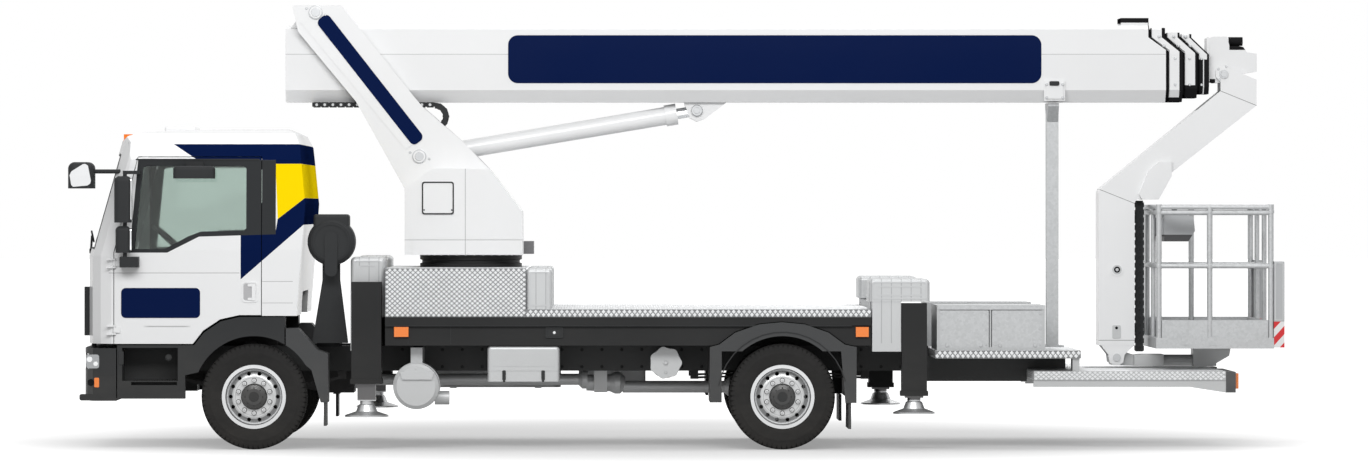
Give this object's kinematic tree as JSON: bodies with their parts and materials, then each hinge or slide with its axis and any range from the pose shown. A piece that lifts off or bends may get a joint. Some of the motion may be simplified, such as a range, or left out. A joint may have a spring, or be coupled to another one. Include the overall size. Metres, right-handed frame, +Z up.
{
  "type": "cherry picker truck",
  "caption": "Truck-mounted access platform with a tilting cab, slewing turret, telescopic boom, cranked jib, levelled basket and sliding outriggers.",
  "frame": {"origin": "on the ground, at the middle of the bounding box in plan", "axes": "+X towards the rear, -X the cab end, +Y the right-hand side, +Z up"},
  "size_m": [9.18, 2.55, 3.367],
  "materials": {
    "white_paint": "gloss",
    "dark_paint": "satin",
    "silver_paint": "satin",
    "rim_paint": "satin",
    "deck_plate": "chequer",
    "tyre": "matt",
    "black_plastic": "matt",
    "interior": "matt",
    "lamp": "gloss",
    "glass": "clear",
    "steel": "machined",
    "chrome": "polished",
    "cast": "rough"
  },
  "bodies": {
    "chassis": {"chassis_frame": "dark_paint", "subframe": "dark_paint", "deck_plates": "deck_plate", "rear_platform": "deck_plate", "boom_rest": "silver_paint", "lockers": "silver_paint", "tanks": "silver_paint", "air_intake": "black_plastic", "mudguards": "black_plastic", "bumper": "black_plastic", "lamps": "lamp", "axles": "cast", "driveline": "steel", "engine": "cast", "slew_ring": "dark_paint"},
    "cab": {"cab_shell": "white_paint", "windscreen": "glass", "cab_trim": "black_plastic", "cab_interior": "interior"},
    "door_left": {"door_left": "white_paint", "door_glass_left": "glass", "mirrors_left": "black_plastic"},
    "door_right": {"door_right": "white_paint", "door_glass_right": "glass", "mirrors_right": "black_plastic"},
    "knuckle_left": {"knuckle_left": "cast"},
    "knuckle_right": {"knuckle_right": "cast"},
    "wheel_front_left": {"tyre_front_left": "tyre", "rim_front_left": "rim_paint"},
    "wheel_front_right": {"tyre_front_right": "tyre", "rim_front_right": "rim_paint"},
    "wheels_rear_left": {"tyres_rear_left": "tyre", "rims_rear_left": "rim_paint"},
    "wheels_rear_right": {"tyres_rear_right": "tyre", "rims_rear_right": "rim_paint"},
    "turret": {"turret_housing": "white_paint", "tower_fork": "white_paint"},
    "boom": {"boom_outer": "white_paint", "boom_chain": "black_plastic"},
    "section_two": {"section_two": "white_paint"},
    "section_three": {"section_three": "white_paint"},
    "section_four": {"section_four": "white_paint"},
    "lift_barrel": {"lift_barrel": "white_paint"},
    "lift_rod": {"lift_rod": "chrome"},
    "jib": {"jib_beam": "white_paint", "jib_chain": "black_plastic"},
    "level_link": {"level_link": "steel"},
    "basket": {"basket_arm": "silver_paint", "basket_frame": "silver_paint", "basket_fittings": "black_plastic"},
    "outrigger_front_left": {"outrigger_front_left": "dark_paint"},
    "outrigger_front_right": {"outrigger_front_right": "dark_paint"},
    "outrigger_rear_left": {"outrigger_rear_left": "dark_paint"},
    "outrigger_rear_right": {"outrigger_rear_right": "dark_paint"},
    "jack_front_left": {"jack_front_left": "steel"},
    "jack_front_right": {"jack_front_right": "steel"},
    "jack_rear_left": {"jack_rear_left": "steel"},
    "jack_rear_right": {"jack_rear_right": "steel"}
  },
  "joints": [
    {"name": "cab_tilt", "type": "hinge", "parent": "chassis", "child": "cab", "pos_m": [-4.45, 0, 0.772], "axis": [0, -1, 0], "range_deg": [0, 50]},
    {"name": "door_left_swing", "type": "hinge", "parent": "cab", "child": "door_left", "pos_m": [-4.236, -1.114, 1.4], "axis": [0, 0, -1], "range_deg": [0, 70]},
    {"name": "door_right_swing", "type": "hinge", "parent": "cab", "child": "door_right", "pos_m": [-4.236, 1.114, 1.4], "axis": [0, 0, 1], "range_deg": [0, 70]},
    {"name": "steer_left", "type": "hinge", "parent": "chassis", "child": "knuckle_left", "pos_m": [-3.192, -0.8, 0.398], "axis": [0, 0, 1], "range_deg": [-40, 40]},
    {"name": "steer_right", "type": "hinge", "parent": "chassis", "child": "knuckle_right", "pos_m": [-3.192, 0.8, 0.398], "axis": [0, 0, 1], "range_deg": [-40, 40]},
    {"name": "wheel_front_left_spin", "type": "hinge", "parent": "knuckle_left", "child": "wheel_front_left", "pos_m": [-3.192, -0.99, 0.398], "axis": [0, 1, 0], "continuous": true},
    {"name": "wheel_front_right_spin", "type": "hinge", "parent": "knuckle_right", "child": "wheel_front_right", "pos_m": [-3.192, 0.99, 0.398], "axis": [0, 1, 0], "continuous": true},
    {"name": "wheels_rear_left_spin", "type": "hinge", "parent": "chassis", "child": "wheels_rear_left", "pos_m": [0.774, -0.99, 0.398], "axis": [0, 1, 0], "continuous": true},
    {"name": "wheels_rear_right_spin", "type": "hinge", "parent": "chassis", "child": "wheels_rear_right", "pos_m": [0.774, 0.99, 0.398], "axis": [0, 1, 0], "continuous": true},
    {"name": "turret_slew", "type": "hinge", "parent": "chassis", "child": "turret", "pos_m": [-1.587, 0, 1.458], "axis": [0, 0, 1], "range_deg": [-225, 225]},
    {"name": "boom_lift", "type": "hinge", "parent": "turret", "child": "boom", "pos_m": [-2.77, 0, 3.312], "axis": [0, -1, 0], "range_deg": [0, 75]},
    {"name": "lift_cylinder_swing", "type": "hinge", "parent": "turret", "child": "lift_barrel", "pos_m": [-1.977, 0, 2.21], "axis": [0, -1, 0], "range_deg": [0, 71]},
    {"name": "lift_cylinder_rod", "type": "slide", "parent": "lift_barrel", "child": "lift_rod", "axis": [0.9865, 0, 0.1638], "range_m": [0, 1.64]},
    {"name": "boom_section_two", "type": "slide", "parent": "boom", "child": "section_two", "axis": [1, 0, 0], "range_m": [0, 4.4]},
    {"name": "boom_section_three", "type": "slide", "parent": "section_two", "child": "section_three", "axis": [1, 0, 0], "range_m": [0, 4.4]},
    {"name": "boom_section_four", "type": "slide", "parent": "section_three", "child": "section_four", "axis": [1, 0, 0], "range_m": [0, 4.4]},
    {"name": "jib_lift", "type": "hinge", "parent": "section_four", "child": "jib", "pos_m": [4.19, 0, 2.842], "axis": [0, -1, 0], "range_deg": [0, 110]},
    {"name": "levelling_link", "type": "hinge", "parent": "jib", "child": "level_link", "pos_m": [3.37, 0, 0.668], "axis": [0, -1, 0], "range_deg": [-75, 0]},
    {"name": "basket_level", "type": "hinge", "parent": "level_link", "child": "basket", "pos_m": [3.37, 0, 0.668], "axis": [0, -1, 0], "range_deg": [-110, 0]},
    {"name": "outrigger_front_left_out", "type": "slide", "parent": "chassis", "child": "outrigger_front_left", "axis": [0, -1, 0], "range_m": [0, 0.5]},
    {"name": "jack_front_left_down", "type": "slide", "parent": "outrigger_front_left", "child": "jack_front_left", "axis": [0, 0, -1], "range_m": [0, 0.35]},
    {"name": "outrigger_front_right_out", "type": "slide", "parent": "chassis", "child": "outrigger_front_right", "axis": [0, 1, 0], "range_m": [0, 0.5]},
    {"name": "jack_front_right_down", "type": "slide", "parent": "outrigger_front_right", "child": "jack_front_right", "axis": [0, 0, -1], "range_m": [0, 0.35]},
    {"name": "outrigger_rear_left_out", "type": "slide", "parent": "chassis", "child": "outrigger_rear_left", "axis": [0, -1, 0], "range_m": [0, 1]},
    {"name": "jack_rear_left_down", "type": "slide", "parent": "outrigger_rear_left", "child": "jack_rear_left", "axis": [0, 0, -1], "range_m": [0, 0.35]},
    {"name": "outrigger_rear_right_out", "type": "slide", "parent": "chassis", "child": "outrigger_rear_right", "axis": [0, 1, 0], "range_m": [0, 1]},
    {"name": "jack_rear_right_down", "type": "slide", "parent": "outrigger_rear_right", "child": "jack_rear_right", "axis": [0, 0, -1], "range_m": [0, 0.35]}
  ],
  "couplings": [
    {"joint": "steer_right", "follows": "steer_left", "ratio": 1},
    {"joint": "lift_cylinder_swing", "follows": "boom_lift", "ratio": 0.9353},
    {"joint": "lift_cylinder_rod", "follows": "boom_lift", "m_per_rad": 1.2492},
    {"joint": "boom_section_three", "follows": "boom_section_two", "ratio": 1},
    {"joint": "boom_section_four", "follows": "boom_section_two", "ratio": 1},
    {"joint": "levelling_link", "follows": "boom_lift", "ratio": -1},
    {"joint": "basket_level", "follows": "jib_lift", "ratio": -1}
  ]
}
